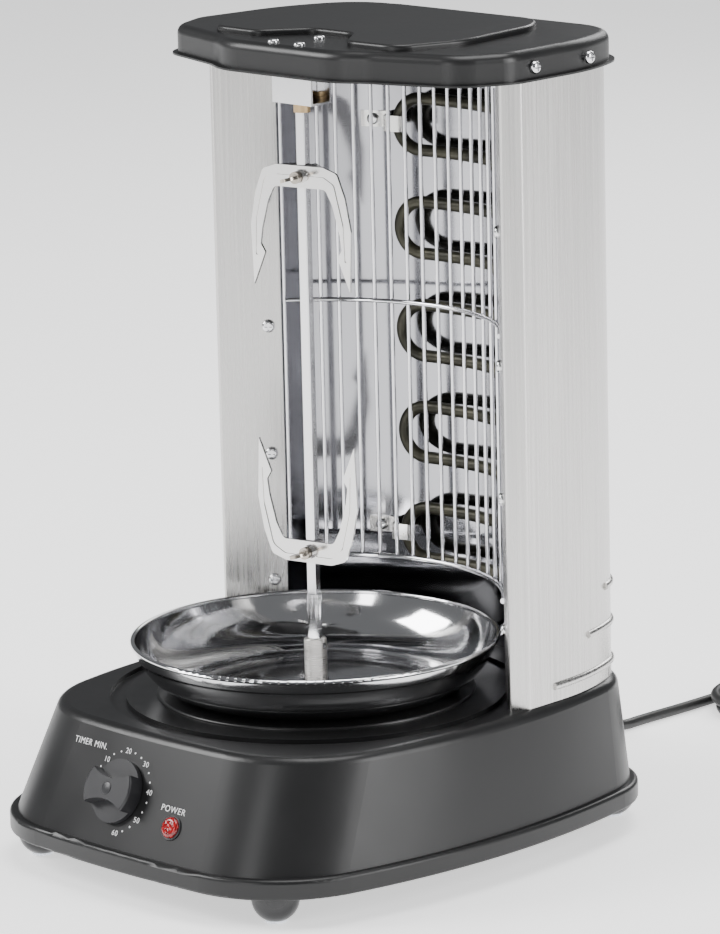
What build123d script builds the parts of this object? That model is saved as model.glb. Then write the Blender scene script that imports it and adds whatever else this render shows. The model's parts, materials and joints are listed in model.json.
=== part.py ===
from build123d import *
import os
from math import atan2, cos, degrees, hypot, radians, sin, tan

# Upright rotisserie oven. A sheet-metal heating tower, open to the front, stands on a base that
# holds the drive motor and the timer. A square spit with two sliding forks turns in front of the
# heating element, over a loose drip pan.
# Frame: origin on the floor under the spit axis, +Z up, open front towards -Y. Millimetres.

# --- base ---
TRAY_LOW = 16.0  # underside of the bottom tray
TRAY_TOP = 27.0  # ledge of the tray, where the housing stands
BASE_TOP = 85.0  # flat top of the base
BASE_CEILING = 80.5  # inside of the base top
BASE_WALL = 2.5
PLATEAU_TOP = 86.5  # raised round seat under the drip pan
PLATEAU_R = 88.0
GROOVE_R = (105.0, 114.0)  # drip groove round the seat
GROOVE_DEPTH = 2.5
FOOT_R = 13.0
PAD_H = 1.5
FEET = [(x, y) for x in (-93.0, 93.0) for y in (-123.0, 138.0)]

# --- front panel: timer knob and lamp ---
KNOB_X, KNOB_Z = -10.5, 54.1
KNOB_R, KNOB_H, KNOB_SKIRT = 17.5, 9.5, 3.2
LAMP_X, LAMP_Z = 34.7, 43.8
LAMP_R = 5.7

# --- tower ---
TOWER_TOP = 438.0
SHEET = 1.0
FLANGE_IN, FLANGE_OUT = (85.8, 61.6), (111.8, 37.2)  # inward return flange, right-hand side
TOWER_SIDE = [(119.5, 45.0), (117.0, 95.0), (96.5, 143.0)]
TOWER_SIDE_R = [2.0, 140.0, 36.0]
REFLECTOR_R = 133.0
REFLECTOR_END = 47.0  # degrees each side of +Y
REFLECTOR_SHEET = 0.8
REFLECTOR_TOP = 425.0
BEAD_R = 2.2
BEADS = [(93.5, 65.0), (115.5, 97.0), (137.5, 119.0)]  # height, and where each starts along Y
VENT = (64.0, 3.0)
VENT_ROWS = [330.0 + 12.0 * i for i in range(6)]

# --- guard ---
GUARD_R = 106.6
WIRE_R = 1.15
WIRE_COUNT = 20
WIRE_STEP = 5.58  # degrees
GUARD_LOW, GUARD_TOP = 136.0, 423.0
GUARD_RINGS = [(136.0, 1.5), (283.4, 1.25), (420.0, 1.25)]  # height and wire radius

# --- heating element ---
ELEMENT_R = 119.0
ELEMENT_TUBE = 3.5
ELEMENT_HALF = 12.5  # degrees from +Y to where a bend starts
ELEMENT_RUNS = 10
ELEMENT_TOP = 397.0
ELEMENT_PITCH = 29.3
LEG_BEND, LEG_OUT = 10.0, 11.0  # the ends turn back through the reflector

# --- cap and top bearing ---
CAP_LOW = 427.5
CAP_TOP = 444.0
CAP_LIP = 3.0
CAP_SHEET = 1.0
CAP_PANEL = 3.5
CAP_HALF = [(42.0, -20.5), (60.0, -10.5), (112.0, 6.0), (126.0, 36.0), (122.5, 100.0), (101.0, 148.6)]
CAP_HALF_R = [40.0, 30.0, 26.0, 25.0, 120.0, 42.0]
PANEL_HALF = [(15.0, 25.0), (35.0, 0.0), (71.0, 1.0), (84.0, 42.0), (74.0, 103.0), (58.0, 125.0)]
PANEL_HALF_R = [12.0, 12.0, 14.0, 40.0, 45.0, 25.0]
CAP_FASTENERS = [(-10.0, -10.6), (10.0, -10.6), (0.0, 14.0)]
CAP_SIDE_SCREWS = [(122.5, 53.0), (119.7, 98.0)]
CAP_SCREW_Z = 434.5
BRACKET_X, BRACKET_Y, BRACKET_LOW = 15.0, 7.5, 411.0
BRACKET_SHEET = 1.2

# --- spit ---
SPIT_TURN = 12.0  # degrees that the spit stands turned about +Z at rest
SPIT_SIDE = 5.5
SPIT_ROUND = 3.6  # corner radius reach of the square bar
SPIT_TOP = 424.0
JOURNAL_R, JOURNAL_LOW, JOURNAL_TOP = 4.0, 100.0, 139.0
HUB_R, HUB_LOW, HUB_TOP = 6.25, 88.0, 114.0
SLOT_LOW, SLOT_W = 108.5, 3.2
PIN_R = 1.5
FIT = 0.05  # radial running clearance

# --- forks ---
FORK_PLATE = 1.5
FORK_BAR = 12.0
FORK_SLIP = 0.1
UPPER_FORK_Z, LOWER_FORK_Z = 377.2, 157.2  # outer edge of each crossbar
SCREW_R = 2.0

# --- drip pan ---
PAN_R = 102.0
PAN_RIM_Z = 116.0
PAN_FLOOR_R = 72.0
PAN_SHEET = 0.8
PAN_HOLE = 6.7

# --- mains cord ---
CORD_R = 3.1
CORD_X, CORD_Z = -20.0, 46.0
RELIEF_END = 186.0
CORD_ROUTE = [
    (-20.0, 186.0, 46.0), (-20.0, 212.0, 46.0), (-19.2, 237.0, 24.0), (-19.0, 262.0, 3.3),
    (-20.4, 290.0, 3.3), (-19.4, 320.0, 3.3), (-20.0, 350.0, 3.3),
]
COIL_X, COIL_Y = 20.3, 365.0
COIL_R = (27.9, 40.3)  # centre lines of the inner and outer turn
TAIL_ROUTE = [(34.0, 405.3, 9.5), (50.0, 405.3, 12.0)]
PLUG_X = (50.0, 72.0, 80.0, 84.0, 98.0)  # boot start, boot end, shoulder, rim, face
PLUG_R, PLUG_NECK = 18.2, 9.0
PLUG_PIN = (2.4, 19.0, 9.5)  # radius, length, half spacing

PARTS = {}
BELOW = (Align.CENTER, Align.CENTER, Align.MIN)


# ---------------------------------------------------------------- helpers
def rod(radius, start, end):
    """Solid round bar between two points."""
    start, end = Vector(*start), Vector(*end)
    return Solid.make_cylinder(radius, (end - start).length, Plane(start, z_dir=end - start))


def disc(radius, low, high, x=0.0, y=0.0):
    """Upright cylinder between two heights."""
    return Pos(x, y, low) * Cylinder(radius, high - low, align=BELOW)


def tube(outer, inner, low, high, x=0.0, y=0.0):
    """Upright ring between two heights."""
    return disc(outer, low, high, x, y) - disc(inner, low - 1, high + 1, x, y)


def block(x, y, z):
    """Box between two limits on each axis."""
    size = [b - a for a, b in (x, y, z)]
    return Pos(*[(a + b) / 2 for a, b in (x, y, z)]) * Box(*size)


def together(shapes):
    """One shape made of all of them."""
    shapes = list(shapes)
    return shapes[0] + shapes[1:] if len(shapes) > 1 else shapes[0]


def group(shapes):
    """Several separate solids in one node."""
    return Compound(children=[s for shape in shapes for s in shape.solids()])


def polar(radius, angle, z=None):
    """Point on a circle about the spit axis; the angle is in degrees from +Y towards +X."""
    x, y = radius * sin(radians(angle)), radius * cos(radians(angle))
    return (x, y) if z is None else (x, y, z)


def mirrored(half):
    """Full closed outline from the points of its right half, front to back."""
    return half + [(-x, y) for x, y in reversed(half)]


def rounded(half, radii):
    """Closed plan outline, symmetric about X = 0, with its corners rounded."""
    line = FilletPolyline(*mirrored(half), radius=radii + radii[::-1], close=True)
    return make_face(line)


def bowed(front, side, back, front_r, back_r):
    """Plan outline of four bowed sides with rounded corners.

    front and back are the corner's x and y and how far the edge bows; side is the widest point.
    """
    (fx, fy, front_bow), (bx, by, back_bow) = front, back
    corners = [(-fx, fy), (fx, fy), (bx, by), (-bx, by)]
    middles = [(0, fy - front_bow), side, (0, by + back_bow), (-side[0], side[1])]
    edges = [ThreePointArc(corners[i], middles[i], corners[(i + 1) % 4]) for i in range(4)]
    face = make_face(Curve() + edges)
    face = fillet([v for v in face.vertices() if v.Y < fy + 1], front_r)
    return fillet([v for v in face.vertices() if v.Y > by - 1], back_r)


def sheet(line, thickness, low, high):
    """Upright sheet of a given thickness along a plan line."""
    outline = offset(line, amount=thickness / 2, side=Side.BOTH)
    return Pos(0, 0, low) * extrude(make_face(outline.edges()), high - low)


def swept(radius, path):
    """Round wire along a path."""
    start = path @ 0
    return sweep(Plane(start, z_dir=path % 0) * Circle(radius), path=path)


def pan_head(radius, height, shank_r, shank):
    """Cross-recessed screw; the underside of its head is at z = 0 and the head points up."""
    head = Cylinder(radius, height, align=BELOW)
    head = fillet(head.edges().group_by(Axis.Z)[-1], height * 0.8)
    slot = Pos(0, 0, height) * Box(radius * 1.15, radius * 0.26, height)
    recess = slot + Rot(0, 0, 90) * slot
    return head - recess + Pos(0, 0, -shank) * Cylinder(shank_r, shank, align=BELOW)


def facing(origin, normal):
    """Location whose z axis points along a normal."""
    return Plane(Vector(*origin), z_dir=Vector(*normal)).location


# ---------------------------------------------------------------- base
BODY_FOOT = dict(front=(109.0, -143.5, 7.5), side=(135.5, 15.0), back=(114.0, 146.3, 5.2))
BODY_HEAD = dict(front=(101.0, -116.5, 7.5), side=(125.0, 12.0), back=(104.0, 144.6, 5.0))
# the tray reaches as far to the front as to the back, so the origin is the middle of the footprint
TRAY_OUTLINE = dict(front=(112.5, -147.0, 8.0), side=(139.5, 18.0), back=(118.0, 150.0, 5.0))


def inset(outline, amount):
    """The same bowed outline, smaller all round."""
    (fx, fy, front_bow), (bx, by, back_bow) = outline["front"], outline["back"]
    side_x, side_y = outline["side"]
    return dict(front=(fx - amount, fy + amount, front_bow), side=(side_x - amount, side_y),
                back=(bx - amount, by - amount, back_bow))


def wall_point(x, z):
    """Point on the outside of the sloping front wall, and its outward normal."""
    rise = (z - TRAY_TOP) / (BASE_TOP - TRAY_TOP)
    bottom, top = [corner_y - bow * (1 - (x / corner_x) ** 2)
                   for corner_x, corner_y, bow in (BODY_FOOT["front"], BODY_HEAD["front"])]
    slope = atan2(top - bottom, BASE_TOP - TRAY_TOP)
    corner_x, _, bow = BODY_FOOT["front"]
    yaw = atan2(2 * bow * x, corner_x**2)
    normal = (sin(yaw) * cos(slope), -cos(yaw) * cos(slope), sin(slope))
    return (x, bottom + rise * (top - bottom), z), normal


def wall_plane(x, z):
    """Plane on the front wall: x to the right, y up the wall, z outwards."""
    origin, normal = wall_point(x, z)
    normal = Vector(*normal)
    right = Vector(0, 0, 1).cross(normal)
    return Plane(Vector(*origin), x_dir=right, z_dir=normal)


KNOB_PLANE = wall_plane(KNOB_X, KNOB_Z)
LAMP_PLANE = wall_plane(LAMP_X, LAMP_Z)


def base_parts():
    foot = bowed(**BODY_FOOT, front_r=67, back_r=52)
    head = bowed(**BODY_HEAD, front_r=66, back_r=45)
    housing = loft([Pos(0, 0, TRAY_TOP) * foot, Pos(0, 0, BASE_TOP) * head], ruled=True)
    housing = fillet(housing.edges().group_by(Axis.Z)[-1], 6)
    hollow_foot = bowed(**inset(BODY_FOOT, BASE_WALL), front_r=65, back_r=50)
    hollow_head = bowed(**inset(BODY_HEAD, BASE_WALL), front_r=64, back_r=43)
    housing -= loft([Pos(0, 0, TRAY_TOP) * hollow_foot, Pos(0, 0, BASE_CEILING) * hollow_head],
                    ruled=True)
    seat = disc(PLATEAU_R, BASE_TOP - 1, PLATEAU_TOP)
    housing += fillet(seat.edges().group_by(Axis.Z)[-1], 1.2)
    inner, outer = GROOVE_R
    housing -= tube(outer, inner, BASE_TOP - GROOVE_DEPTH, BASE_TOP + 1)
    housing -= disc(7.05, BASE_CEILING - 1, PLATEAU_TOP + 1)
    housing -= KNOB_PLANE.location * Cylinder(4.0, 12)
    housing -= LAMP_PLANE.location * Cylinder(LAMP_R - 0.9, 12)
    housing -= rod(5.6, (CORD_X, 140, CORD_Z), (CORD_X, 165, CORD_Z))
    PARTS["base_housing"] = housing

    outline = bowed(**TRAY_OUTLINE, front_r=69, back_r=55)
    tray = Pos(0, 0, TRAY_LOW) * extrude(outline, TRAY_TOP - TRAY_LOW)
    tray = fillet(tray.edges().group_by(Axis.Z)[-1], 2.4)
    tray = fillet(tray.edges().group_by(Axis.Z)[0], 1.5)
    tray -= Pos(0, 0, TRAY_LOW + 2.5) * extrude(hollow_foot, TRAY_TOP)
    vents = [block((x - 2, x + 2), (y - 16, y + 16), (TRAY_LOW - 1, TRAY_LOW + 4))
             for x in range(-30, 31, 10) for y in (-60, 60)]
    PARTS["bottom_tray"] = tray - vents

    ball = Pos(0, 0, FOOT_R) * Sphere(FOOT_R)
    ball &= block((-20, 20), (-20, 20), (PAD_H, TRAY_LOW))
    PARTS["feet"] = group(Pos(x, y, 0) * ball for x, y in FEET)
    pad = Cylinder(5.8, PAD_H, align=BELOW)
    pad = fillet(pad.edges().group_by(Axis.Z)[0], 0.4)
    PARTS["foot_pads"] = group(Pos(x, y, 0) * pad for x, y in FEET)


def drive_parts():
    motor = disc(24.5, 36, 57) + disc(10, 57, 58)
    motor = fillet(motor.edges().group_by(Axis.Z)[0], 3) + block((-35, 35), (-6, 6), (56, 58))
    PARTS["drive_motor"] = motor - disc(4.06, 45, 60)
    legs = [block((x - 1, x + 1), (-12, 12), (58, BASE_CEILING)) for x in (-39, 39)]
    plate = block((-40, 40), (-12, 12), (58, 60)) - disc(8, 57, 61)
    screw_spots = [(-30.0, 0.0), (30.0, 0.0)]
    plate -= [disc(1.9, 57, 61, x, y) for x, y in screw_spots]
    PARTS["motor_bracket"] = plate + legs
    screw = Pos(0, 0, 60) * pan_head(3.2, 2.2, 1.5, 2.0)
    PARTS["motor_screws"] = group(Pos(x, y, 0) * screw for x, y in screw_spots)
    bush = tube(7.0, JOURNAL_R + 0.06, BASE_CEILING, PLATEAU_TOP)
    PARTS["shaft_bush"] = bush + tube(9.5, JOURNAL_R + 0.06, BASE_CEILING - 2, BASE_CEILING)
    PARTS["drive_shaft"] = disc(JOURNAL_R, 47, HUB_LOW + 7)
    hub = disc(HUB_R, HUB_LOW, HUB_TOP)
    hub = chamfer(hub.edges().group_by(Axis.Z)[-1], 0.6)
    hub -= disc(JOURNAL_R, HUB_LOW - 1, HUB_LOW + 7)
    hub -= disc(JOURNAL_R + FIT, JOURNAL_LOW - 1, HUB_TOP + 1)
    cut = block((-8, 8), (-SLOT_W / 2, SLOT_W / 2), (SLOT_LOW, HUB_TOP + 1))
    PARTS["drive_hub"] = hub - Rot(0, 0, SPIT_TURN) * cut


def panel_parts():
    inward = -BASE_WALL - 2.4
    depth = 24.0
    body = Pos(0, 0, inward - depth / 2) * Box(44, 36, depth)
    body = fillet(body.edges().filter_by(Axis.Z), 4) - Cylinder(3.06, 60)
    PARTS["timer_body"] = KNOB_PLANE.location * body
    PARTS["timer_spindle"] = KNOB_PLANE.location * Pos(0, 0, -14) * Cylinder(3.0, 24, align=BELOW)
    knob = Pos(0, 0, 0.5) * Cylinder(KNOB_R, KNOB_H, align=BELOW)
    knob = fillet(knob.edges().group_by(Axis.Z)[-1], 1.2)
    grip_cut = [Pos(0, side * 34, KNOB_SKIRT) * Cylinder(28.2, KNOB_H, align=BELOW)
                for side in (-1, 1)]
    knob = knob - grip_cut - Cylinder(3.0, 20.0)
    PARTS["timer_knob"] = KNOB_PLANE.location * knob
    lens = Cylinder(LAMP_R, 2.6, align=BELOW)
    lens = fillet(lens.edges().group_by(Axis.Z)[-1], 2.2)
    lens = Pos(0, 0, 0.25) * lens + Pos(0, 0, -8) * Cylinder(LAMP_R - 1.1, 8.5, align=BELOW)
    lens -= Pos(0, 0, -9) * Cylinder(2.6, 7.5, align=BELOW)
    PARTS["indicator_lens"] = LAMP_PLANE.location * lens
    bulb = Pos(0, 0, -15) * Cylinder(2.4, 13, align=BELOW)
    PARTS["neon_bulb"] = LAMP_PLANE.location * fillet(bulb.edges().group_by(Axis.Z)[-1], 2.0)
    strip = block((-62, -30), (108, 126), (18.5, 34))
    PARTS["terminal_block"] = strip - [rod(2.2, (x, 100, 29), (x, 130, 29)) for x in (-56, -46, -36)]


# ---------------------------------------------------------------- tower
def tower_line():
    right = [FLANGE_IN, FLANGE_OUT] + TOWER_SIDE
    points = right + [(-x, y) for x, y in reversed(right)]
    radii = [1.2] + TOWER_SIDE_R
    return FilletPolyline(*points, radius=radii + radii[::-1])


def flange_frame():
    """Unit vector along the right return flange, from its inner end, and its forward normal."""
    dx, dy = FLANGE_OUT[0] - FLANGE_IN[0], FLANGE_OUT[1] - FLANGE_IN[1]
    length = hypot(dx, dy)
    return (dx / length, dy / length), (dy / length, -dx / length)


PANEL_SCREW_ALONG = 7.0
PANEL_SCREW_Z = [122.0 + 73.4 * i for i in range(4)]


def flange_spots():
    """Screw positions on the front face of both return flanges, with their normals."""
    (dx, dy), (nx, ny) = flange_frame()
    x = FLANGE_IN[0] + PANEL_SCREW_ALONG * dx + nx * SHEET / 2
    y = FLANGE_IN[1] + PANEL_SCREW_ALONG * dy + ny * SHEET / 2
    return [((side * x, y, z), (side * nx, ny, 0)) for side in (-1, 1) for z in PANEL_SCREW_Z]


def tower_parts():
    line = tower_line()
    shell = sheet(line, SHEET, BASE_TOP, TOWER_TOP)
    for z, start in BEADS:
        shell += swept(BEAD_R, Pos(0, 0, z) * line) & block((-140, 140), (start, 160), (85, 150))
    width, height = VENT
    shell -= [block((x - width / 2, x + width / 2), (140, 155), (z, z + height))
              for x in (-40.0, 40.0) for z in VENT_ROWS]
    shell -= [facing(*spot) * Cylinder(2.0, 6) for spot in flange_spots()]
    shell -= [rod(2.0, (-130, y, CAP_SCREW_Z), (-100, y, CAP_SCREW_Z)) for _, y in CAP_SIDE_SCREWS]
    shell -= [rod(2.0, (100, y, CAP_SCREW_Z), (130, y, CAP_SCREW_Z)) for _, y in CAP_SIDE_SCREWS]
    PARTS["tower_shell"] = shell

    (dx, dy), (nx, ny) = flange_frame()
    back = SHEET / 2 + REFLECTOR_SHEET / 2
    lap = [(FLANGE_IN[0] + s * dx - back * nx, FLANGE_IN[1] + s * dy - back * ny)
           for s in (15.0, 0.6)]
    low, high = BASE_TOP, REFLECTOR_TOP
    knee = polar(REFLECTOR_R, REFLECTOR_END)
    arc = ThreePointArc(knee, (0, REFLECTOR_R), (-knee[0], knee[1]))
    mirror = sheet(arc, REFLECTOR_SHEET, low, high)
    for side in (-1, 1):
        wing = Polyline(*[(side * x, y) for x, y in lap + [knee]])
        mirror += sheet(wing, REFLECTOR_SHEET, low, high)
    mirror -= [facing(*spot) * Cylinder(2.0, 8) for spot in flange_spots()]
    mirror -= [rod(ELEMENT_TUBE + 2.1, *leg) for leg in leg_holes()]
    mirror -= [rod(1.9, polar(120, CLIP_SCREW_ANGLE, z), polar(140, CLIP_SCREW_ANGLE, z))
               for z in CLIP_Z]
    PARTS["reflector"] = mirror
    screw = pan_head(3.7, 2.3, 1.75, 7.0)
    PARTS["panel_screws"] = group(facing(*spot) * screw for spot in flange_spots())


def guard_part():
    first = -WIRE_STEP * (WIRE_COUNT - 1) / 2
    wires = [disc(WIRE_R, GUARD_LOW, GUARD_TOP, *polar(GUARD_R, first + WIRE_STEP * i))
             for i in range(WIRE_COUNT)]
    rings = []
    for z, radius in GUARD_RINGS:
        reach = GUARD_R - WIRE_R - radius + 0.4
        end = polar(reach, -first, z)
        arc = ThreePointArc((-end[0], end[1], z), (0, reach, z), end)
        rings.append(swept(radius, arc))
    PARTS["guard"] = together(wires + rings)


# ---------------------------------------------------------------- heating element
CLIP_Z = [ELEMENT_TOP - ELEMENT_PITCH * 0.5, ELEMENT_TOP - ELEMENT_PITCH * 8.5]
CLIP_SCREW_ANGLE = -28.5


def leg_points(z):
    """Run end, tangent and outward direction of an element end on the right-hand side."""
    start = Vector(*polar(ELEMENT_R, ELEMENT_HALF, z))
    angle = radians(ELEMENT_HALF)
    along, out = Vector(cos(angle), -sin(angle), 0), Vector(sin(angle), cos(angle), 0)
    return start, along, out


def leg_holes():
    spans = []
    for z in (ELEMENT_TOP, ELEMENT_TOP - ELEMENT_PITCH * (ELEMENT_RUNS - 1)):
        start, along, out = leg_points(z)
        centre = start + along * LEG_BEND + out * LEG_BEND
        spans.append((tuple(centre - out), tuple(centre + out * LEG_OUT)))
    return spans


def element_path():
    right = Vector(*polar(ELEMENT_R, ELEMENT_HALF))
    left = Vector(-right.X, right.Y, 0)
    angle = radians(ELEMENT_HALF)
    push = ELEMENT_PITCH / 2
    edges = []
    for run in range(ELEMENT_RUNS):
        z = Vector(0, 0, ELEMENT_TOP - run * ELEMENT_PITCH)
        leftward = run % 2 == 0
        start, end = (right, left) if leftward else (left, right)
        edges.append(ThreePointArc(start + z, Vector(0, ELEMENT_R, 0) + z, end + z))
        if run < ELEMENT_RUNS - 1:
            side = -1 if leftward else 1
            middle = end + Vector(side * cos(angle) * push, -sin(angle) * push, 0)
            below = z - Vector(0, 0, ELEMENT_PITCH)
            edges.append(ThreePointArc(end + z, middle + (z + below) * 0.5, end + below))
    for run in (0, ELEMENT_RUNS - 1):
        start, along, out = leg_points(ELEMENT_TOP - run * ELEMENT_PITCH)
        turn = start + out * LEG_BEND + (along - out) * (LEG_BEND * cos(radians(45)))
        corner = start + along * LEG_BEND + out * LEG_BEND
        leg = [ThreePointArc(start, turn, corner), Line(corner, corner + out * LEG_OUT)]
        edges = leg[::-1] + edges if run == 0 else edges + leg
    return Wire(edges)


def element_parts():
    path = element_path()
    PARTS["heating_element"] = swept(ELEMENT_TUBE, path)
    sleeves = []
    for start, end in leg_holes():
        start, end = Vector(*start), Vector(*end)
        out = (end - start).normalized()
        # the sleeve sits in the reflector's hole, with a flange behind the sheet
        middle = start + out * 5.0
        sleeve = rod(ELEMENT_TUBE + 2.0, middle - out * 3, middle + out * 4)
        sleeves.append(sleeve - rod(ELEMENT_TUBE, start - out * 3, end + out * 3))
    PARTS["element_sleeves"] = group(sleeves)
    clips, screws = [], []
    screw = pan_head(3.4, 2.2, 1.6, 4.0)
    for z in CLIP_Z:
        seat = REFLECTOR_R - REFLECTOR_SHEET / 2 - 0.8
        bends = [polar(seat, -31.5), polar(seat, -24.2), polar(115.2, -22.8), polar(115.2, -17.5)]
        clip = sheet(Polyline(*bends), 0.8, z - 4.5, z + 4.5)
        spot = polar(seat, CLIP_SCREW_ANGLE, z)
        inward = (-spot[0], -spot[1], 0)
        clips.append(clip - facing(spot, inward) * Cylinder(1.9, 6))
        head_seat = polar(seat - 0.8, CLIP_SCREW_ANGLE, z)
        screws.append(facing(head_seat, inward) * screw)
    PARTS["element_clips"] = group(clips)
    PARTS["clip_screws"] = group(screws)


# ---------------------------------------------------------------- cap and top bearing
def cap_parts():
    outline = rounded(CAP_HALF, CAP_HALF_R)
    lip = Pos(0, 0, CAP_LOW) * extrude(outline, CAP_SHEET)
    wall = offset(outline, -CAP_LIP)
    body = Pos(0, 0, CAP_LOW) * extrude(wall, CAP_TOP - CAP_LOW)
    body = fillet(body.edges().group_by(Axis.Z)[-1], 5)
    hollow_top = CAP_TOP - CAP_SHEET
    hollow = Pos(0, 0, CAP_LOW - 1) * extrude(offset(wall, -CAP_SHEET), hollow_top - CAP_LOW + 1)
    hollow = fillet(hollow.edges().group_by(Axis.Z)[-1], 2.4)
    raised = Pos(0, 0, CAP_TOP - 0.5) * extrude(rounded(PANEL_HALF, PANEL_HALF_R), CAP_PANEL + 0.5)
    raised = fillet(raised.edges().group_by(Axis.Z)[-1], 1.8)
    cap = lip + body - hollow + raised
    cap -= [disc(2.0, CAP_TOP - 4, CAP_TOP + 4, x, y) for x, y in CAP_FASTENERS]
    for side in (-1, 1):
        cap -= [rod(2.0, (side * 100, y, CAP_SCREW_Z), (side * 130, y, CAP_SCREW_Z))
                for _, y in CAP_SIDE_SCREWS]
    PARTS["top_cap"] = cap

    rivet = Cylinder(3.2, 1.8, align=BELOW)
    rivet = fillet(rivet.edges().group_by(Axis.Z)[-1], 1.5)
    rivet += Pos(0, 0, -4) * Cylinder(1.8, 4, align=BELOW)
    PARTS["cap_fasteners"] = group(Pos(x, y, CAP_TOP) * rivet for x, y in CAP_FASTENERS)
    screw = pan_head(3.5, 2.8, 1.75, 6.0)
    spots = [((side * x, y, CAP_SCREW_Z), (side, 0, 0)) for x, y in CAP_SIDE_SCREWS
             for side in (-1, 1)]
    PARTS["cap_side_screws"] = group(facing(*spot) * screw for spot in spots)

    low, high, t = BRACKET_LOW, hollow_top, BRACKET_SHEET
    span = (-BRACKET_X, BRACKET_X)
    bracket = block(span, (-BRACKET_Y, BRACKET_Y), (low, low + t))
    bracket += block(span, (-BRACKET_Y, -BRACKET_Y + t), (low, high))
    bracket += block(span, (BRACKET_Y - t, BRACKET_Y), (low, high))
    bracket += block(span, (-14.0, -BRACKET_Y + t), (high - t, high))
    bracket += block(span, (BRACKET_Y - t, 18.0), (high - t, high))
    bracket -= disc(4.65, low - 1, low + 3)
    bracket -= [disc(2.0, high - 5, high + 1, x, y) for x, y in CAP_FASTENERS]
    PARTS["bearing_bracket"] = bracket
    bush = disc(4.6, low - 5, low + 5) + disc(6.1, low + t, low + t + 1.3)
    PARTS["top_bush"] = bush - disc(SPIT_ROUND + FIT, low - 6, low + 6)


# ---------------------------------------------------------------- spit
def spit_parts():
    bar = Rectangle(SPIT_SIDE, SPIT_SIDE) & Circle(SPIT_ROUND)
    bar = Pos(0, 0, JOURNAL_TOP) * extrude(bar, SPIT_TOP - JOURNAL_TOP)
    journal = disc(JOURNAL_R, JOURNAL_LOW, JOURNAL_TOP)
    journal = chamfer(journal.edges().group_by(Axis.Z)[0], 0.8)
    pin_z = SLOT_LOW + PIN_R + 0.1
    skewer = Rot(0, 0, SPIT_TURN) * (bar + journal)
    turn = radians(SPIT_TURN)
    ends = [(side * cos(turn) * 6.0, side * sin(turn) * 6.0, pin_z) for side in (-1, 1)]
    pin = rod(PIN_R, *ends)
    PARTS["skewer"] = skewer - pin
    PARTS["skewer_pin"] = pin


FORK_OUTER = [(0.0, 0.0), (15.0, 0.0), (24.0, 3.0), (29.0, 16.0), (32.5, 34.0), (31.2, 67.0)]
FORK_INNER = [(23.6, 49.0), (26.4, 44.5), (25.2, 36.0), (21.0, 20.5), (16.5, 12.0), (0.0, 12.0)]
FORK_GROOVE = [(5.5, 4.6), (15.5, 4.6), (22.6, 8.6), (28.2, 31.0), (28.9, 50.0)]


def fork_frame(z, up):
    """Plane of a fork: x along the crossbar, y from the crossbar to the tips, z to the front."""
    turn = radians(SPIT_TURN)
    along = Vector(cos(turn), sin(turn), 0) * up
    front = Vector(sin(turn), -cos(turn), 0)
    return Plane(Vector(0, 0, z), x_dir=along, z_dir=front)


def fork_solid():
    """A stamped two-arm fork in its own plane, wrapped round the spit."""
    near = SPIT_SIDE / 2 + FORK_SLIP
    half = FORK_OUTER + FORK_INNER
    arm = make_face(Polyline(*half, close=True))
    arm += mirror(arm, about=Plane.YZ)
    corner = [v for v in arm.vertices() if abs(v.X) > 10 and v.Y < 36 and abs(v.Y - 44.5) > 1]
    plate = Pos(0, 0, near) * extrude(fillet(corner, 3.5), FORK_PLATE)
    groove = FilletPolyline(*FORK_GROOVE, radius=[4.0, 5.0, 12.0])
    groove = extrude(make_face(offset(groove, amount=0.9, side=Side.BOTH).edges()), 2)
    groove = Pos(0, 0, near + FORK_PLATE - 0.5) * groove
    plate -= [groove, mirror(groove, about=Plane.YZ)]
    wall = near + 1.3
    sleeve = block((-wall, wall), (0, FORK_BAR), (-wall, near))
    sleeve -= block((-near, near), (-1, FORK_BAR + 1), (-near, near))
    ear = make_face(Polyline((near, near), (14.0, near), (near, -8.0), close=True))
    ears = []
    for flip in (1, -1):
        face = ear if flip == 1 else mirror(ear, about=Plane.YZ)
        # an ear lies across the crossbar's outer edge: its plane is turned to face along y
        ears.append(Pos(0, 1.2, 0) * Rot(90, 0, 0) * extrude(face, 1.2))
    nut = Pos(0, FORK_BAR / 2, near) * Cylinder(3.9, FORK_PLATE + 2.0, align=BELOW)
    fork = plate + sleeve + ears + nut
    return fork - Pos(0, FORK_BAR / 2, 0) * Cylinder(SCREW_R + 0.06, 20, align=BELOW)


def thumb_screw():
    """Wing screw along z; its tip is just clear of the spit's face."""
    tip = SPIT_SIDE / 2 + 0.05
    seat = SPIT_SIDE / 2 + FORK_SLIP + FORK_PLATE + 2.0
    shank = Pos(0, 0, tip) * Cylinder(SCREW_R, seat + 3.0 - tip, align=BELOW)
    collar = Pos(0, 0, seat + 0.4) * Cylinder(3.3, 2.4, align=BELOW)
    blade = Rot(90, 0, 0) * extrude(Ellipse(4.6, 6.2), 0.9, both=True)
    blade = Rot(0, 0, 15) * Pos(0, 0, seat + 7.6) * blade
    return Pos(0, FORK_BAR / 2, 0) * (shank + collar + blade)


def fork_parts():
    for name, z, up in (("upper", UPPER_FORK_Z, -1), ("lower", LOWER_FORK_Z, 1)):
        place = fork_frame(z, up).location
        PARTS[f"{name}_fork"] = place * fork_solid()
        PARTS[f"{name}_thumb_screw"] = place * thumb_screw()


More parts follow.
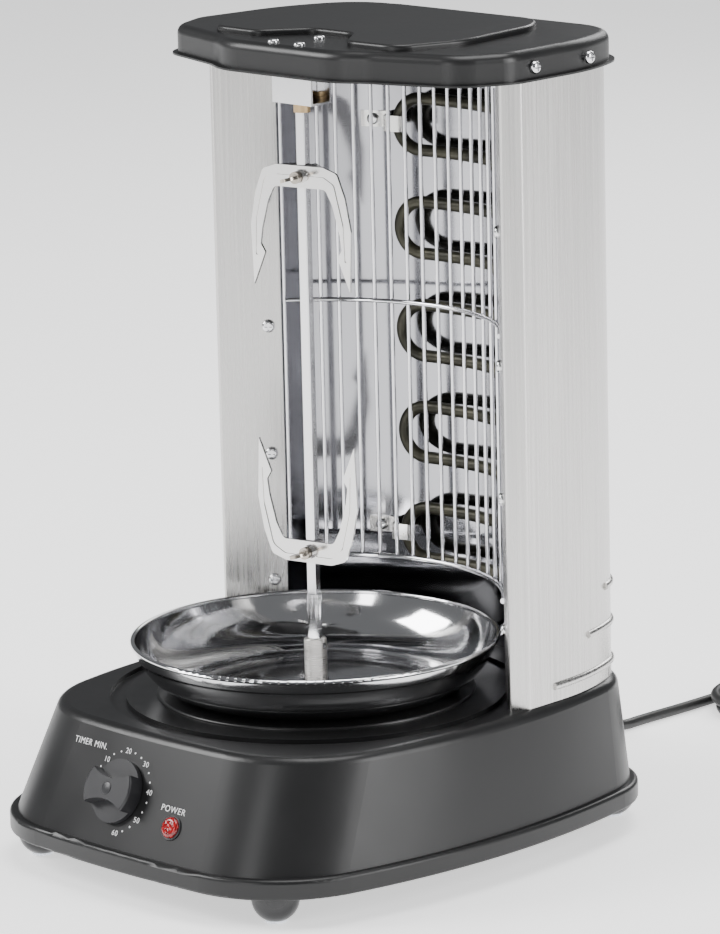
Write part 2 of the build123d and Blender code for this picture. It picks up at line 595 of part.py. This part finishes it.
# ---------------------------------------------------------------- drip pan
def pan_part():
    t = PAN_SHEET
    low = PLATEAU_TOP
    collar = PAN_HOLE + t
    top = PAN_RIM_Z - 1.0
    outer = Curve() + [
        Line((PAN_HOLE, low + 4), (PAN_HOLE, low)), Line((PAN_HOLE, low), (PAN_FLOOR_R, low)),
        ThreePointArc((PAN_FLOOR_R, low), (90.5, low + 9.5), (PAN_R - 1.4, top)),
        Line((PAN_R - 1.4, top), (PAN_R - 1.4 - t, top)),
        ThreePointArc((PAN_R - 1.4 - t, top), (89.9, low + 10.3), (PAN_FLOOR_R, low + t)),
        Line((PAN_FLOOR_R, low + t), (collar, low + t)), Line((collar, low + t), (collar, low + 4)),
        Line((collar, low + 4), (PAN_HOLE, low + 4)),
    ]
    profile = Plane.XZ * make_face(outer)
    rim = Plane.XZ * Pos(PAN_R - 1.4, top) * Circle(1.4)
    PARTS["drip_pan"] = revolve(profile, Axis.Z) + revolve(rim, Axis.Z)


# ---------------------------------------------------------------- mains cord
def relief_part():
    profile = make_face(Polyline(
        (0, 143.8), (7.5, 143.8), (7.5, 147.0), (5.3, 147.0), (5.3, 151.7), (7.0, 151.7),
        (7.0, 153.7), (5.2, 154.7), (3.7, RELIEF_END), (0, RELIEF_END), close=True))
    PARTS["strain_relief"] = Pos(CORD_X, 0, CORD_Z) * revolve(profile, Axis.Y)


def corner_radii(points):
    """The largest smooth radius at each corner of a route."""
    radii = []
    for before, at, after in zip(points, points[1:], points[2:]):
        runs = [Vector(*at) - Vector(*before), Vector(*after) - Vector(*at)]
        turn = radians(runs[0].get_angle(runs[1]))
        radii.append(0.45 * min(run.length for run in runs) / tan(turn / 2))
    return radii


def cord_parts():
    radii = corner_radii(CORD_ROUTE)
    path = FilletPolyline(*CORD_ROUTE, radius=radii)
    cord = swept(CORD_R, path)
    PARTS["power_cord"] = cord
    inner, outer = COIL_R
    ring = tube(outer + CORD_R, inner - CORD_R, 0.15, 0.2 + 4 * CORD_R, COIL_X, COIL_Y)
    PARTS["cord_coil"] = fillet(ring.edges(), 2.4)
    PARTS["cord_tail"] = rod(CORD_R, *TAIL_ROUTE)


def plug_parts():
    start, neck, shoulder, rim, face = PLUG_X
    y, z = TAIL_ROUTE[1][1], PLUG_R + 0.1
    tail = Vector(*TAIL_ROUTE[1]) - Vector(*TAIL_ROUTE[0])
    boot = loft([Plane(Vector(*TAIL_ROUTE[1]), z_dir=tail) * Circle(3.7),
                 Plane(Vector(neck, y, z), z_dir=(1, 0, 0)) * Circle(PLUG_NECK)])
    outline = make_face(Polyline((neck, 0), (neck, PLUG_NECK), (shoulder, 15.5), (rim, PLUG_R),
                                 (face, PLUG_R), (face, 0), close=True))
    body = Pos(0, y, z) * Rot(90, 0, 0) * revolve(outline, Axis.X)
    radius, length, half = PLUG_PIN
    spots = [(y - half, z), (y + half, z)]
    PARTS["mains_plug"] = boot + body - [rod(radius, (face - 6, py, pz), (face + 1, py, pz))
                                         for py, pz in spots]
    pins = [rod(radius, (face - 6, py, pz), (face + length, py, pz)) for py, pz in spots]
    PARTS["plug_pins"] = group(fillet(pin.edges().group_by(Axis.X)[-1], 1.2) for pin in pins)


def main():
    base_parts()
    drive_parts()
    panel_parts()
    tower_parts()
    guard_part()
    element_parts()
    cap_parts()
    spit_parts()
    fork_parts()
    pan_part()
    relief_part()
    cord_parts()
    plug_parts()
    os.makedirs("parts", exist_ok=True)
    for name, shape in PARTS.items():
        export_step(shape, f"parts/{name}.step")


main()
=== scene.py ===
"""Looks of the upright rotisserie oven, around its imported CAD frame.

Metres; +Z is up and the open front faces -Y.
"""
import json
import math

import bpy
from mathutils import Matrix, Vector


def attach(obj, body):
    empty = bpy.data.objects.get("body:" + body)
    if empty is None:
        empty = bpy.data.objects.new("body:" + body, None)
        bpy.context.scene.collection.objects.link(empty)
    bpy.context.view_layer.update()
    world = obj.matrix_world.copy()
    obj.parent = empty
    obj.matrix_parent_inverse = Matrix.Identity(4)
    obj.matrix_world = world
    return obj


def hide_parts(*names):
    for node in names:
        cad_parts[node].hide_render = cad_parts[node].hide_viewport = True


MM = 0.001
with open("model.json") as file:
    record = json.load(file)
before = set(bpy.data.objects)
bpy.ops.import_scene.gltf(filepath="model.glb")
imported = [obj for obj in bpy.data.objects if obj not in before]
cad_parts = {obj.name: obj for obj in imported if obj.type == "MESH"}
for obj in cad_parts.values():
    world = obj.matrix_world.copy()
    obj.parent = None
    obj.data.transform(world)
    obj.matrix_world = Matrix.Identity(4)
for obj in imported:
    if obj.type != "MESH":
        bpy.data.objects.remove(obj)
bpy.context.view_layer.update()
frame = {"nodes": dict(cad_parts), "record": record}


# ---------------------------------------------------------------- material helpers
def principled(name, colour, roughness, metallic=0.0, **sockets):
    """A material with one Principled shader, and its other sockets by name (underscores for spaces)."""
    material = bpy.data.materials.new(name)
    material.use_nodes = True
    shader = material.node_tree.nodes["Principled BSDF"]
    shader.inputs["Base Color"].default_value = (*colour, 1.0)
    shader.inputs["Roughness"].default_value = roughness
    shader.inputs["Metallic"].default_value = metallic
    for socket, value in sockets.items():
        shader.inputs[socket.replace("_", " ")].default_value = value
    return material


def noise(material, scale, stretch=(1, 1, 1), detail=3.0):
    """The value of a noise texture in the object's own space, stretched along its axes."""
    tree = material.node_tree
    where = tree.nodes.new("ShaderNodeTexCoord")
    mapping = tree.nodes.new("ShaderNodeMapping")
    mapping.inputs["Scale"].default_value = stretch
    texture = tree.nodes.new("ShaderNodeTexNoise")
    texture.inputs["Scale"].default_value = scale
    texture.inputs["Detail"].default_value = detail
    tree.links.new(where.outputs["Object"], mapping.inputs["Vector"])
    tree.links.new(mapping.outputs["Vector"], texture.inputs["Vector"])
    return texture.outputs["Fac"]


def vary_roughness(material, source, low, high):
    """Roughness that runs from low to high with the source."""
    tree = material.node_tree
    spread = tree.nodes.new("ShaderNodeMapRange")
    spread.inputs["From Min"].default_value = 0.3
    spread.inputs["From Max"].default_value = 0.7
    spread.inputs["To Min"].default_value = low
    spread.inputs["To Max"].default_value = high
    tree.links.new(source, spread.inputs["Value"])
    tree.links.new(spread.outputs["Result"], tree.nodes["Principled BSDF"].inputs["Roughness"])


def vary_colour(material, source, dark, light):
    """Base colour that runs between two shades with the source."""
    tree = material.node_tree
    ramp = tree.nodes.new("ShaderNodeValToRGB")
    ramp.color_ramp.elements[0].position = 0.32
    ramp.color_ramp.elements[0].color = (*dark, 1.0)
    ramp.color_ramp.elements[1].position = 0.68
    ramp.color_ramp.elements[1].color = (*light, 1.0)
    tree.links.new(source, ramp.inputs["Fac"])
    tree.links.new(ramp.outputs["Color"], tree.nodes["Principled BSDF"].inputs["Base Color"])


def relief(material, source, strength, distance):
    """Fine surface relief from the source; distance is its depth in metres."""
    tree = material.node_tree
    bump = tree.nodes.new("ShaderNodeBump")
    bump.inputs["Strength"].default_value = strength
    bump.inputs["Distance"].default_value = distance
    tree.links.new(source, bump.inputs["Height"])
    tree.links.new(bump.outputs["Normal"], tree.nodes["Principled BSDF"].inputs["Normal"])


# ---------------------------------------------------------------- materials
def satin_paint(name, shade, low, high):
    """Black paint on pressed sheet: a faint orange peel and hand-worn patches of gloss."""
    material = principled(name, (shade, shade, shade * 1.04), low, Specular_IOR_Level=0.42)
    vary_roughness(material, noise(material, 14, detail=5), low, high)
    relief(material, noise(material, 900, detail=2), 0.05, 0.00005)
    return material


def moulded(name, colour, low, high, grain=1400):
    """Moulded plastic or rubber with a fine grain."""
    material = principled(name, colour, low)
    vary_roughness(material, noise(material, 30), low, high)
    relief(material, noise(material, grain, detail=2), 0.12, 0.00005)
    return material


def brushed_steel():
    """Stainless sheet brushed from top to bottom."""
    material = principled("brushed_steel", (0.7, 0.69, 0.67), 0.3, 1.0)
    grain = noise(material, 1.0, (750, 750, 9), detail=4)
    vary_roughness(material, grain, 0.2, 0.36)
    vary_colour(material, grain, (0.54, 0.53, 0.52), (0.69, 0.68, 0.66))
    relief(material, grain, 0.12, 0.00006)
    return material


def plated(name, colour, low, high, wave=0.0):
    """Plated or polished metal: smudges change its gloss, and thin sheet wavers a little."""
    material = principled(name, colour, low, 1.0)
    vary_roughness(material, noise(material, 22, detail=6), low, high)
    relief(material, noise(material, 16 if wave else 700, detail=1), 0.1, wave or 0.00003)
    return material


def turned_steel(name, colour, low, high):
    """Steel machined or ground round an upright axis: fine level rings."""
    material = principled(name, colour, low, 1.0)
    rings = noise(material, 1.0, (12, 12, 1500), detail=2)
    vary_roughness(material, rings, low, high)
    relief(material, rings, 0.12, 0.00004)
    return material


def heater_sheath():
    """Heating tube after use: olive-black oxide with brown patches."""
    material = principled("heater_sheath", (0.05, 0.048, 0.035), 0.4, 0.55)
    patches = noise(material, 55, (1, 1, 0.6), detail=5)
    vary_colour(material, patches, (0.028, 0.027, 0.02), (0.085, 0.08, 0.055))
    vary_roughness(material, noise(material, 120), 0.3, 0.5)
    relief(material, noise(material, 1100, detail=2), 0.2, 0.00006)
    return material


def red_lens():
    """Tinted lens moulded with small facets on its inner face; its red is painted darker towards each
    facet's rim as painted shade of the facets.
    """
    material = principled("red_lens", (0.62, 0.012, 0.015), 0.12, Transmission_Weight=0.35, IOR=1.49,
                          Coat_Weight=0.6, Coat_Roughness=0.04)
    tree = material.node_tree
    where = tree.nodes.new("ShaderNodeTexCoord")
    facet_relief_and_shade = tree.nodes.new("ShaderNodeTexVoronoi")
    facet_relief_and_shade.inputs["Scale"].default_value = 620
    tree.links.new(where.outputs["Object"], facet_relief_and_shade.inputs["Vector"])
    relief(material, facet_relief_and_shade.outputs["Distance"], 0.35, 0.0004)
    # painted shade: the lens red darkens towards each facet's rim
    vary_colour(material, facet_relief_and_shade.outputs["Distance"], (0.6, 0.012, 0.015), (0.22, 0.002, 0.004))
    return material


def clear_rubber():
    """Pale see-through foot pad."""
    material = principled("clear_rubber", (0.78, 0.81, 0.86), 0.25, Transmission_Weight=0.4, IOR=1.42)
    vary_roughness(material, noise(material, 160), 0.2, 0.4)
    relief(material, noise(material, 900, detail=2), 0.1, 0.00005)
    return material


def floor_paper():
    """Pale studio paper."""
    material = principled("floor_paper", (0.92, 0.92, 0.92), 0.8,
                          Emission_Color=(1, 1, 1, 1), Emission_Strength=1.0)
    vary_roughness(material, noise(material, 3), 0.75, 0.9)
    return material


def make_materials():
    """Every material by the name of the slot in the record."""
    print_white = moulded("print_white", (0.78, 0.78, 0.78), 0.45, 0.6)
    made = {
        "base_black": satin_paint("base_paint", 0.011, 0.27, 0.4),
        "cap_black": satin_paint("cap_paint", 0.01, 0.3, 0.42),
        "tray_black": satin_paint("tray_paint", 0.009, 0.3, 0.42),
        "foot_black": moulded("foot_plastic", (0.014, 0.014, 0.015), 0.12, 0.22),
        "pad_clear": clear_rubber(),
        "motor_grey": satin_paint("motor_paint", 0.3, 0.35, 0.5),
        "zinc": plated("zinc_plate", (0.6, 0.6, 0.57), 0.32, 0.48),
        "screw_bright": plated("screw_plate", (0.8, 0.8, 0.81), 0.1, 0.2),
        "bronze": turned_steel("sintered_bronze", (0.5, 0.36, 0.2), 0.35, 0.5),
        "spit_steel": turned_steel("spit_chrome", (0.8, 0.8, 0.81), 0.08, 0.2),
        "hub_steel": turned_steel("hub_steel", (0.62, 0.6, 0.57), 0.22, 0.38),
        "knob_black": moulded("knob_plastic", (0.016, 0.016, 0.018), 0.3, 0.42),
        "lens_red": red_lens(),
        "bulb_glass": moulded("bulb_glass", (0.9, 0.5, 0.35), 0.08, 0.15),
        "block_white": moulded("block_plastic", (0.78, 0.78, 0.75), 0.4, 0.55),
        "tower_steel": brushed_steel(),
        "mirror_steel": plated("mirror_steel", (0.4, 0.4, 0.42), 0.05, 0.12, 0.0009),
        "guard_chrome": plated("guard_chrome", (0.82, 0.82, 0.84), 0.06, 0.14),
        "element_dark": heater_sheath(),
        "ceramic": moulded("ceramic", (0.82, 0.8, 0.74), 0.5, 0.65),
        "clip_steel": plated("clip_steel", (0.82, 0.81, 0.78), 0.12, 0.22),
        "bracket_chrome": plated("bracket_chrome", (0.8, 0.8, 0.81), 0.08, 0.16),
        "fork_steel": plated("fork_steel", (0.72, 0.71, 0.7), 0.12, 0.24),
        "wing_steel": plated("wing_steel", (0.42, 0.38, 0.33), 0.14, 0.26),
        "pan_steel": plated("pan_steel", (0.76, 0.76, 0.77), 0.06, 0.13, 0.0006),
        "cord_black": moulded("cord_rubber", (0.014, 0.014, 0.014), 0.4, 0.52),
        "plug_black": moulded("plug_plastic", (0.016, 0.016, 0.016), 0.38, 0.5),
        "pin_metal": plated("pin_metal", (0.78, 0.76, 0.7), 0.14, 0.24),
    }
    return made, print_white


def dress_nodes(made):
    """Each CAD node gets the material of its slot."""
    for row in frame["record"]["subparts"]:
        node = frame["nodes"][row["node"]]
        for place in node.material_slots:
            place.material = made[row["material_slot"]]


# ---------------------------------------------------------------- pieces
def add_mesh(name, points, faces, material, body, smooth=True):
    """A mesh piece that rides a body."""
    mesh = bpy.data.meshes.new(name)
    mesh.from_pydata(points, [], faces)
    mesh.polygons.foreach_set("use_smooth", [smooth] * len(mesh.polygons))
    mesh.materials.append(material)
    piece = bpy.data.objects.new(name, mesh)
    bpy.context.scene.collection.objects.link(piece)
    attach(piece, body)
    return piece


def lathe(name, profile, at, axis, material, body, steps=64, closed=False):
    """A turned piece: profile holds (distance along the axis, radius), in metres."""
    turn = Vector(axis).to_track_quat("Z", "Y").to_matrix()
    points = [Vector(at) + turn @ Vector((r * math.cos(a), r * math.sin(a), h))
              for h, r in profile for a in (2 * math.pi * i / steps for i in range(steps))]
    rows = len(profile)
    faces = [(k * steps + i, k * steps + (i + 1) % steps,
              (k + 1) % rows * steps + (i + 1) % steps, (k + 1) % rows * steps + i)
             for k in range(rows if closed else rows - 1) for i in range(steps)]
    if not closed:
        faces += [tuple(range(steps))[::-1], tuple(range((rows - 1) * steps, rows * steps))]
    return add_mesh(name, points, faces, material, body)


# The dial is laid out on the sloping front panel, about the knob's centre.
KNOB_X, KNOB_Z = -10.5, 54.1
LAMP_X, LAMP_Z, LAMP_R = 34.7, 43.8, 5.7
WALL_LOW, WALL_HIGH = 27.0, 85.0
WALL_BOW = 7.5


def wall_at(x, z):
    """Point and outward normal of the front panel, in metres, for x and z in millimetres."""
    t = (z - WALL_LOW) / (WALL_HIGH - WALL_LOW)
    foot = -143.5 - WALL_BOW * (1 - (x / 109) ** 2)
    head = -116.5 - WALL_BOW * (1 - (x / 101) ** 2)
    slope = math.atan2(head - foot, WALL_HIGH - WALL_LOW)
    yaw = math.atan2(2 * WALL_BOW * x, 109**2)
    normal = Vector((math.sin(yaw) * math.cos(slope), -math.cos(yaw) * math.cos(slope), math.sin(slope)))
    return Vector((x, foot + t * (head - foot), z)) * MM, normal


PRINT_LIFT = 0.00008
PRINT_THICK = 0.00004
LETTER_GAP = 1.12
CAPITAL_SHARE = 0.7  # height of a capital in the font size


def laid_print(name, curve_or_mesh, across, up, material):
    """Print laid on the panel: across and up are from the knob's centre, in millimetres."""
    centre, normal = wall_at(KNOB_X, KNOB_Z)
    right = Vector((-normal.y, normal.x, 0)).normalized()
    rise = normal.cross(right)
    shell = frame["nodes"]["base_housing"]
    points = []
    for vertex in curve_or_mesh.vertices:
        flat = centre + right * (vertex.co.x + across * MM) + rise * (vertex.co.y + up * MM)
        _, place, face_normal, _ = shell.closest_point_on_mesh(flat)
        points.append(place + face_normal * (PRINT_LIFT + vertex.co.z))
    faces = [tuple(polygon.vertices) for polygon in curve_or_mesh.polygons]
    return add_mesh(name, points, faces, material, "housing", smooth=False)


def text_mesh(words, height):
    """Words as a thin mesh, centred, with capitals of that height in millimetres."""
    curve = bpy.data.curves.new("words", "FONT")
    curve.body = words
    curve.size = height * MM / CAPITAL_SHARE
    curve.space_character = LETTER_GAP
    curve.align_x = "CENTER"
    curve.align_y = "CENTER"
    curve.extrude = PRINT_THICK
    curve.resolution_u = 4
    holder = bpy.data.objects.new("words", curve)
    bpy.context.scene.collection.objects.link(holder)
    bpy.context.view_layer.update()
    mesh = bpy.data.meshes.new_from_object(holder)
    bpy.data.objects.remove(holder)
    return mesh


def dot_mesh(radius, sides=16):
    """A thin round dot."""
    mesh = bpy.data.meshes.new("dot")
    ring = [(radius * MM * math.cos(a), radius * MM * math.sin(a))
            for a in (2 * math.pi * i / sides for i in range(sides))]
    points = [(x, y, level) for level in (-PRINT_THICK, PRINT_THICK) for x, y in ring]
    faces = [tuple(range(sides))[::-1], tuple(range(sides, 2 * sides))]
    faces += [(i, (i + 1) % sides, sides + (i + 1) % sides, sides + i) for i in range(sides)]
    mesh.from_pydata(points, [], faces)
    return mesh


DIAL_R = 22.5
DIAL_STEP = 42.5  # degrees for each ten minutes
DIAL_START = 180.0


def dial_print(material):
    """Minutes round the knob, two dots between each pair, and the words beside it."""
    for index in range(7):
        angle = math.radians(DIAL_START - DIAL_STEP * index)
        laid_print(f"dial_minute_{index * 10}", text_mesh(str(index * 10), 3.0),
                   DIAL_R * math.cos(angle), DIAL_R * math.sin(angle), material)
    for index in range(18):
        if index % 3:
            angle = math.radians(DIAL_START - DIAL_STEP * index / 3)
            laid_print(f"dial_dot_{index}", dot_mesh(0.55), DIAL_R * math.cos(angle),
                       DIAL_R * math.sin(angle), material)
    laid_print("word_timer", text_mesh("TIMER MIN.", 3.5), -33.0, 21.5, material)
    laid_print("word_power", text_mesh("POWER", 3.4), 43.0, -1.5, material)


def lamp_bezel(material):
    """Thin ring that holds the lens in the panel."""
    centre, normal = wall_at(LAMP_X, LAMP_Z)
    inner, outer, height = (LAMP_R + 0.06) * MM, (LAMP_R + 1.1) * MM, 0.9 * MM
    profile = [(0.00005, inner), (0.00005, outer), (height * 0.6, outer), (height, outer - 0.0004),
               (height, inner)]
    return lathe("lamp_bezel", profile[::-1], centre, normal, material, "housing", closed=True)


KNOB_FACE = 10.0  # height of the knob's face over the panel


def knob_cap(material):
    """Low button that closes the spindle hole in the knob's face."""
    centre, normal = wall_at(KNOB_X, KNOB_Z)
    profile = [(KNOB_FACE - 0.05, 3.5), (KNOB_FACE + 0.15, 3.5), (KNOB_FACE + 0.3, 3.2)]
    piece = lathe("knob_cap", [(h * MM, r * MM) for h, r in profile], centre, normal, material, "timer_knob")
    return piece


# ---------------------------------------------------------------- mains lead
LEAD_R = 3.1
LEAD_EXIT = (-20.0, 186.0, 46.0)
LEAD_ROUTE = [
    LEAD_EXIT, (-20.0, 212.0, 46.0), (-19.2, 237.0, 24.0), (-19.0, 262.0, 3.3),
    (-20.4, 290.0, 3.3), (-19.4, 320.0, 3.3), (-20.0, 350.0, 3.3),
]
COIL_X, COIL_Y = 20.3, 365.0
COIL_OUTER, COIL_PITCH = 40.3, 6.2
COIL_TURNS, TURNS_INWARD, TURNS_CLIMBING = 4.25, 2.0, 0.25
COIL_LOW, COIL_HIGH = 3.3, 9.5
LEAD_TAIL = [(34.0, 405.3, 9.5), (50.0, 405.3, 12.0)]
POINTS_PER_TURN = 24


def coil_point(turns):
    """Centre line of the coil after so many clockwise turns: in, up a layer, and out again."""
    inward = min(turns, TURNS_INWARD)
    climbed = min(max(turns - TURNS_INWARD, 0) / TURNS_CLIMBING, 1)
    outward = max(turns - TURNS_INWARD - TURNS_CLIMBING, 0)
    radius = COIL_OUTER - COIL_PITCH * (inward - outward)
    angle = math.pi - 2 * math.pi * turns
    level = COIL_LOW + (COIL_HIGH - COIL_LOW) * climbed
    return (COIL_X + radius * math.cos(angle), COIL_Y + radius * math.sin(angle), level)


def mains_lead(material):
    """The whole lead as one spline, from the strain relief to the plug."""
    steps = round(COIL_TURNS * POINTS_PER_TURN)
    route = LEAD_ROUTE + [coil_point(i / POINTS_PER_TURN) for i in range(steps + 1)] + LEAD_TAIL
    curve = bpy.data.curves.new("mains_lead", "CURVE")
    curve.dimensions = "3D"
    curve.bevel_depth = LEAD_R * MM
    curve.bevel_resolution = 6
    curve.use_fill_caps = True
    spline = curve.splines.new("NURBS")
    spline.points.add(len(route) - 1)
    for point, place in zip(spline.points, route):
        point.co = (*(Vector(place) * MM), 1.0)
    spline.order_u = 3
    spline.use_endpoint_u = True
    spline.resolution_u = 6
    curve.materials.append(material)
    lead = bpy.data.objects.new("mains_lead", curve)
    bpy.context.scene.collection.objects.link(lead)
    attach(lead, "housing")
    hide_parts("power_cord", "cord_coil", "cord_tail")
    return lead


def strain_relief(material):
    """Tapered rubber sleeve with a collar on each side of the wall and ribs that let it flex."""
    profile = [(143.8, 3.0), (143.8, 7.2), (144.2, 7.5), (146.7, 7.5), (147.0, 7.2), (147.0, 5.3),
               (151.7, 5.3), (151.7, 6.7), (152.0, 7.0), (153.5, 7.0)]
    ribs, first, last = 7, 154.7, 184.0
    pitch = (last - first) / ribs
    for index in range(ribs):
        radius = 5.2 - 1.4 * index / (ribs - 1)
        start = first + pitch * index
        profile += [(start, radius), (start + pitch * 0.62, radius - 0.1),
                    (start + pitch * 0.7, radius - 0.6), (start + pitch * 0.95, radius - 0.7)]
    profile += [(last, 3.7), (186.0, 3.6), (186.0, 3.15)]
    piece = lathe("lead_strain_relief", [(y * MM, r * MM) for y, r in profile],
                  (LEAD_EXIT[0] * MM, 0, LEAD_EXIT[2] * MM), (0, 1, 0), material, "housing", steps=48)
    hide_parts("strain_relief")
    return piece


def coil_tie(material):
    """Flat strap round the coiled turns."""
    half_width, half_height, middle, thick, reach = 9.36, 6.22, 6.4, 0.14, 2.5
    centre_x = COIL_X + COIL_OUTER - COIL_PITCH
    count, power = 48, 2 / 6
    points, faces = [], []
    for grow in (0, thick):
        for y in (-reach, reach):
            for index in range(count):
                a = 2 * math.pi * index / count
                c, s = math.cos(a), math.sin(a)
                points.append(Vector((
                    centre_x + (half_width + grow) * math.copysign(abs(c) ** power, c), COIL_Y + y,
                    middle + (half_height + grow) * math.copysign(abs(s) ** power, s))) * MM)
    for index in range(count):
        j = (index + 1) % count
        inner_a, inner_b, outer_a, outer_b = 0, count, 2 * count, 3 * count
        faces += [(inner_a + index, inner_a + j, inner_b + j, inner_b + index),
                  (outer_a + j, outer_a + index, outer_b + index, outer_b + j),
                  (inner_a + j, inner_a + index, outer_a + index, outer_a + j),
                  (inner_b + index, inner_b + j, outer_b + j, outer_b + index)]
    piece = add_mesh("coil_tie", points, faces, material, "housing")
    return piece


# ---------------------------------------------------------------- studio
AIM_AZIMUTH, AIM_PITCH, AIM_ROLL = math.radians(45.59), math.radians(12.05), math.radians(1.32)
CAMERA_AT = (1.9688, -1.8904, 0.8181)
LENS, SHIFT_Y = 197.3, -0.05

FLOOR_REACH = 12.0
OVEN_MIDDLE = (0, 0, 0.25)
SOFT_BOXES = [  # name, place, width, height, power in watts
    ("key", (-1.6, -1.5, 1.7), 1.3, 1.3, 70),
    ("side", (2.2, 0.7, 1.0), 0.8, 1.6, 40),
    ("front", (0.5, -2.6, 0.9), 0.5, 1.4, 16),
    ("top", (0.2, 0.3, 2.4), 1.4, 1.4, 42),
    ("back", (-0.8, 2.4, 1.5), 1.2, 1.0, 24),
]
ROOM_COLOUR = (0.9, 0.92, 0.95, 1)
ROOM_STRENGTH = 0.2


def camera():
    """Camera at the photograph's angle: a long lens, a little above the oven."""
    look = Vector((-math.sin(AIM_AZIMUTH) * math.cos(AIM_PITCH), math.cos(AIM_AZIMUTH) * math.cos(AIM_PITCH),
                   -math.sin(AIM_PITCH)))
    level = Vector((math.cos(AIM_AZIMUTH), math.sin(AIM_AZIMUTH), 0))
    upright = level.cross(look)
    right = level * math.cos(AIM_ROLL) - upright * math.sin(AIM_ROLL)
    up = upright * math.cos(AIM_ROLL) + level * math.sin(AIM_ROLL)
    turn = Matrix((right, up, -look)).transposed().to_4x4()
    data = bpy.data.cameras.new("camera")
    data.sensor_width = 36
    data.lens = LENS
    data.shift_y = SHIFT_Y
    data.dof.use_dof = False
    holder = bpy.data.objects.new("camera", data)
    bpy.context.scene.collection.objects.link(holder)
    holder.matrix_world = Matrix.Translation(CAMERA_AT) @ turn
    bpy.context.scene.camera = holder


def soft_light(name, at, width, height, power):
    """Rectangular soft box that faces the middle of the oven."""
    data = bpy.data.lights.new(name, "AREA")
    data.shape = "RECTANGLE"
    data.size, data.size_y = width, height
    data.energy = power
    holder = bpy.data.objects.new(name, data)
    bpy.context.scene.collection.objects.link(holder)
    turn = (Vector(at) - Vector(OVEN_MIDDLE)).to_track_quat("Z", "Y").to_matrix().to_4x4()
    holder.matrix_world = Matrix.Translation(at) @ turn


def studio():
    """Pale floor, soft boxes and an even grey room."""
    reach = FLOOR_REACH
    corners = [(-reach, -reach, 0), (reach, -reach, 0), (reach, reach, 0), (-reach, reach, 0)]
    mesh = bpy.data.meshes.new("studio_floor")
    mesh.from_pydata(corners, [], [(0, 1, 2, 3)])
    mesh.materials.append(floor_paper())
    floor = bpy.data.objects.new("studio_floor", mesh)
    bpy.context.scene.collection.objects.link(floor)
    for name, at, width, height, power in SOFT_BOXES:
        soft_light(name, at, width, height, power)
    world = bpy.data.worlds.new("room")
    world.use_nodes = True
    world.node_tree.nodes["Background"].inputs["Color"].default_value = ROOM_COLOUR
    world.node_tree.nodes["Background"].inputs["Strength"].default_value = ROOM_STRENGTH
    bpy.context.scene.world = world


made, print_white = make_materials()
dress_nodes(made)
tie = coil_tie(made["plug_black"])
mains_lead(made["cord_black"])
strain_relief(made["cord_black"])
dial_print(print_white)
lamp_bezel(made["knob_black"])
knob_cap(made["knob_black"])
camera()
studio()
